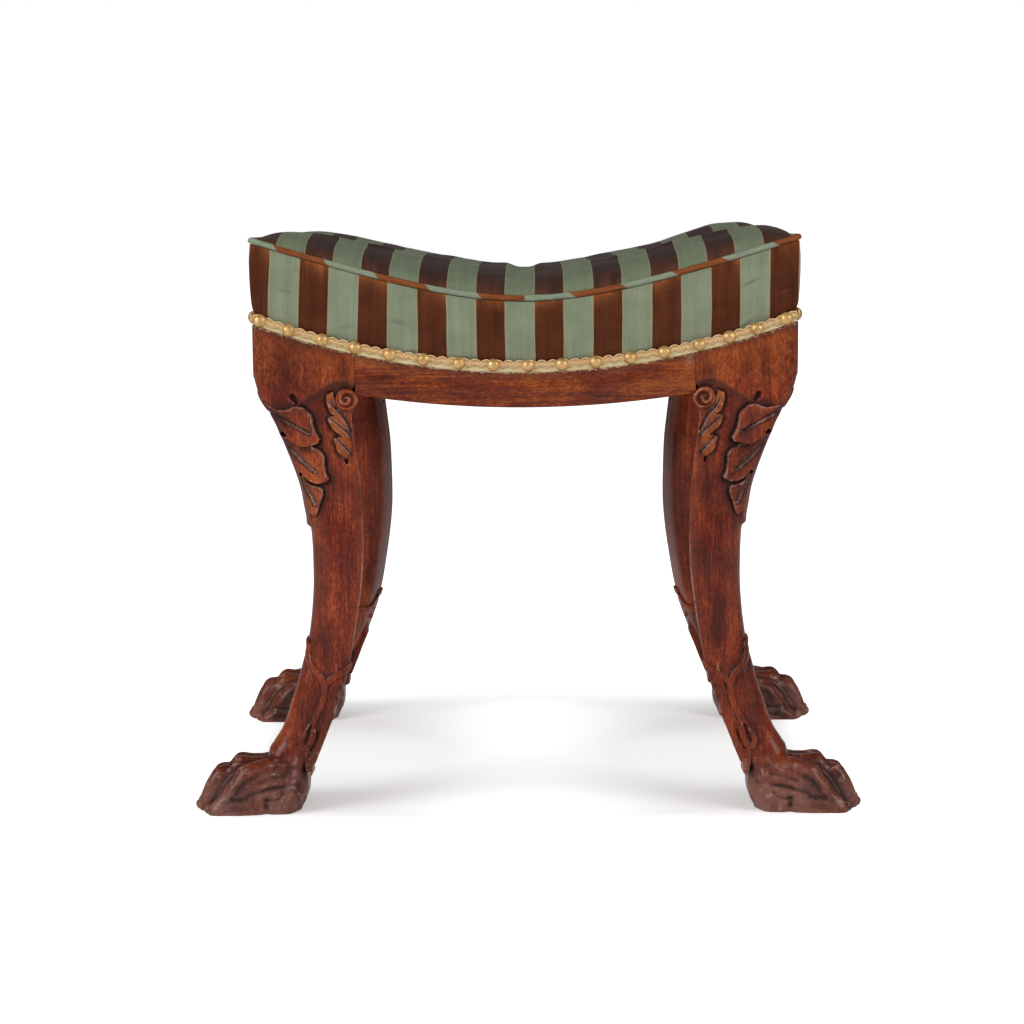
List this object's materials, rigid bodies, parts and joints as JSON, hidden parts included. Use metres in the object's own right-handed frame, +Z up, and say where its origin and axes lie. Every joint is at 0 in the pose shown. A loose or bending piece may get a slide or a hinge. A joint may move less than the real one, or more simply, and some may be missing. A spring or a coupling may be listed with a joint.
{
  "type": "upholstered stool",
  "caption": "Low four-legged stool with dished striped seat on tenoned mahogany rails and outswept carved legs ending in lion paw feet.",
  "frame": {"origin": "on the floor, below the middle of the seat", "axes": "+X to the sitter's right along the dished front rail, +Y to the back, +Z up"},
  "size_m": [0.5358, 0.4326, 0.4637],
  "materials": {
    "leg_mahogany": "carved and french polished",
    "rail_mahogany": "french polished",
    "block_beech": "raw, darkened with age",
    "silk": "satin stripe, sage green and brown",
    "welt": "bias cut satin over cord",
    "gimp": "gimp braid with antique brass nails",
    "webbing": "jute twill webbing",
    "hessian": "coarse plain weave",
    "stuffing": "calico over curled hair"
  },
  "bodies": {
    "root": {"leg_front_right": "leg_mahogany", "leg_front_left": "leg_mahogany", "leg_rear_right": "leg_mahogany", "leg_rear_left": "leg_mahogany", "rail_front": "rail_mahogany", "rail_rear": "rail_mahogany", "rail_right": "rail_mahogany", "rail_left": "rail_mahogany", "corner_block_front_right": "block_beech", "corner_block_front_left": "block_beech", "corner_block_rear_right": "block_beech", "corner_block_rear_left": "block_beech", "webbing_along_1": "webbing", "webbing_along_2": "webbing", "webbing_along_3": "webbing", "webbing_along_4": "webbing", "webbing_along_5": "webbing", "webbing_across_1": "webbing", "webbing_across_2": "webbing", "webbing_across_3": "webbing", "hessian": "hessian", "seat_stuffing": "stuffing", "top_cover": "silk", "boxing_front": "silk", "boxing_rear": "silk", "boxing_right": "silk", "boxing_left": "silk", "welt": "welt", "gimp_front": "gimp", "gimp_rear": "gimp", "gimp_right": "gimp", "gimp_left": "gimp"}
  },
  "joints": []
}
